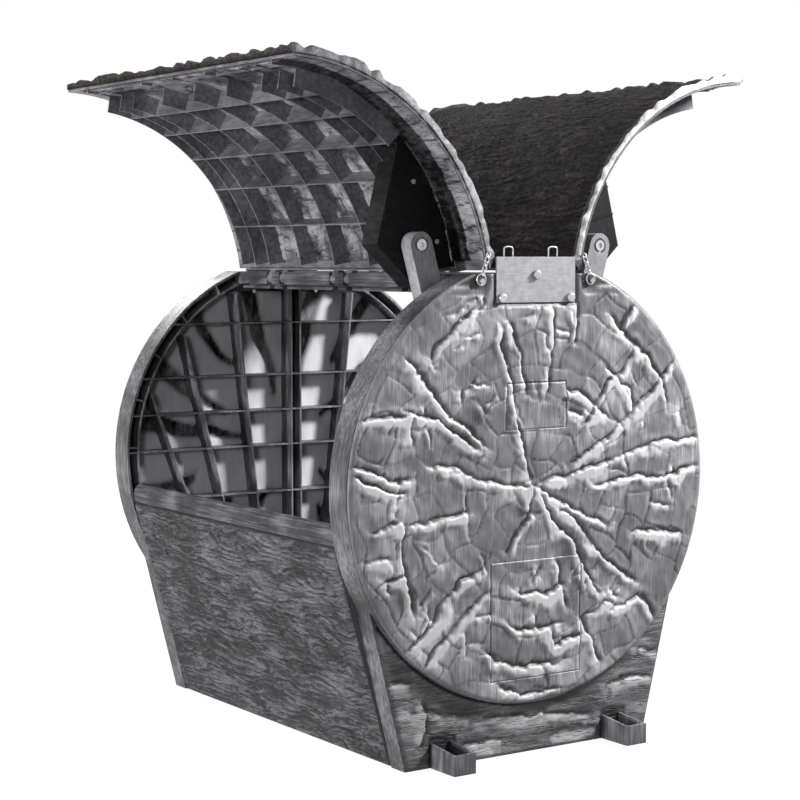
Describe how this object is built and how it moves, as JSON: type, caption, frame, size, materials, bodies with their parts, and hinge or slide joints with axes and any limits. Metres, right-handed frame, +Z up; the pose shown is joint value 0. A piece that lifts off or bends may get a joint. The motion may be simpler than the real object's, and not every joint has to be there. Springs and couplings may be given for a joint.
{
  "type": "log-shaped feed bin",
  "caption": "Outdoor feed bin shaped like a fallen log, with bark side walls, log-end panels, ground feet and two wing lids that swing open on a central ridge.",
  "frame": {"origin": "on the ground, below the middle of the bin", "axes": "+X to the right seen from the front end, +Y from the front end to the back end, +Z up"},
  "size_m": [0.9914, 1.008, 1.2314],
  "materials": {
    "end_grain_plastic": "moulded log end, dark grey, satin",
    "bark_plastic": "moulded bark relief, charcoal, satin",
    "lid_plastic": "moulded bark outside, ribs inside, charcoal",
    "rail_plastic": "moulded fine wood grain, dark grey",
    "inner_plastic": "smooth charcoal moulding",
    "stay_plastic": "smooth grey moulding",
    "zinc_plate": "flat zinc-plated sheet",
    "zinc_steel": "bright zinc plating"
  },
  "bodies": {
    "bin": {"front_end_panel": "end_grain_plastic", "back_end_panel": "end_grain_plastic", "left_side_wall": "bark_plastic", "right_side_wall": "bark_plastic", "left_wall_rail": "rail_plastic", "right_wall_rail": "rail_plastic", "floor_panel": "inner_plastic", "ridge_beam": "inner_plastic", "left_hinge_rod": "zinc_steel", "right_hinge_rod": "zinc_steel", "wall_screws": "zinc_steel", "hatch_cover": "end_grain_plastic", "hatch_screws": "zinc_steel", "upper_blank_cover": "end_grain_plastic", "front_cap_plate": "zinc_plate", "back_cap_plate": "zinc_plate", "cap_plate_bolts": "zinc_steel", "front_wire_loops": "zinc_steel", "back_wire_loops": "zinc_steel"},
    "left_lid": {"left_lid_shell": "lid_plastic", "left_lid_front_web": "inner_plastic", "left_lid_web_screws": "zinc_steel", "left_stay_bolt": "zinc_steel", "left_stay_washer": "zinc_steel", "left_keeper_chain": "zinc_steel", "left_chain_eye": "zinc_steel"},
    "left_front_arm": {"left_front_stay": "stay_plastic"},
    "right_lid": {"right_lid_shell": "lid_plastic", "right_lid_front_web": "inner_plastic", "right_lid_web_screws": "zinc_steel", "right_stay_bolt": "zinc_steel", "right_stay_washer": "zinc_steel", "right_keeper_chain": "zinc_steel", "right_chain_eye": "zinc_steel"},
    "right_front_arm": {"right_front_stay": "stay_plastic"}
  },
  "joints": [
    {"name": "left_lid_hinge", "type": "hinge", "parent": "bin", "child": "left_lid", "pos_m": [-0.124, 0, 0.856], "axis": [0, -1, 0], "range_deg": [0, 104]},
    {"name": "left_front_stay_pivot", "type": "hinge", "parent": "left_lid", "child": "left_front_arm", "pos_m": [-0.20189, -0.364, 0.91974], "axis": [0, -1, 0], "range_deg": [-120, 0]},
    {"name": "right_lid_hinge", "type": "hinge", "parent": "bin", "child": "right_lid", "pos_m": [0.124, 0, 0.856], "axis": [0, 1, 0], "range_deg": [0, 104]},
    {"name": "right_front_stay_pivot", "type": "hinge", "parent": "right_lid", "child": "right_front_arm", "pos_m": [0.20189, -0.364, 0.91974], "axis": [0, 1, 0], "range_deg": [-120, 0]}
  ],
  "couplings": [
    {"joint": "left_front_stay_pivot", "follows": "left_lid_hinge", "ratio": -1.15},
    {"joint": "right_front_stay_pivot", "follows": "right_lid_hinge", "ratio": -1.15}
  ]
}
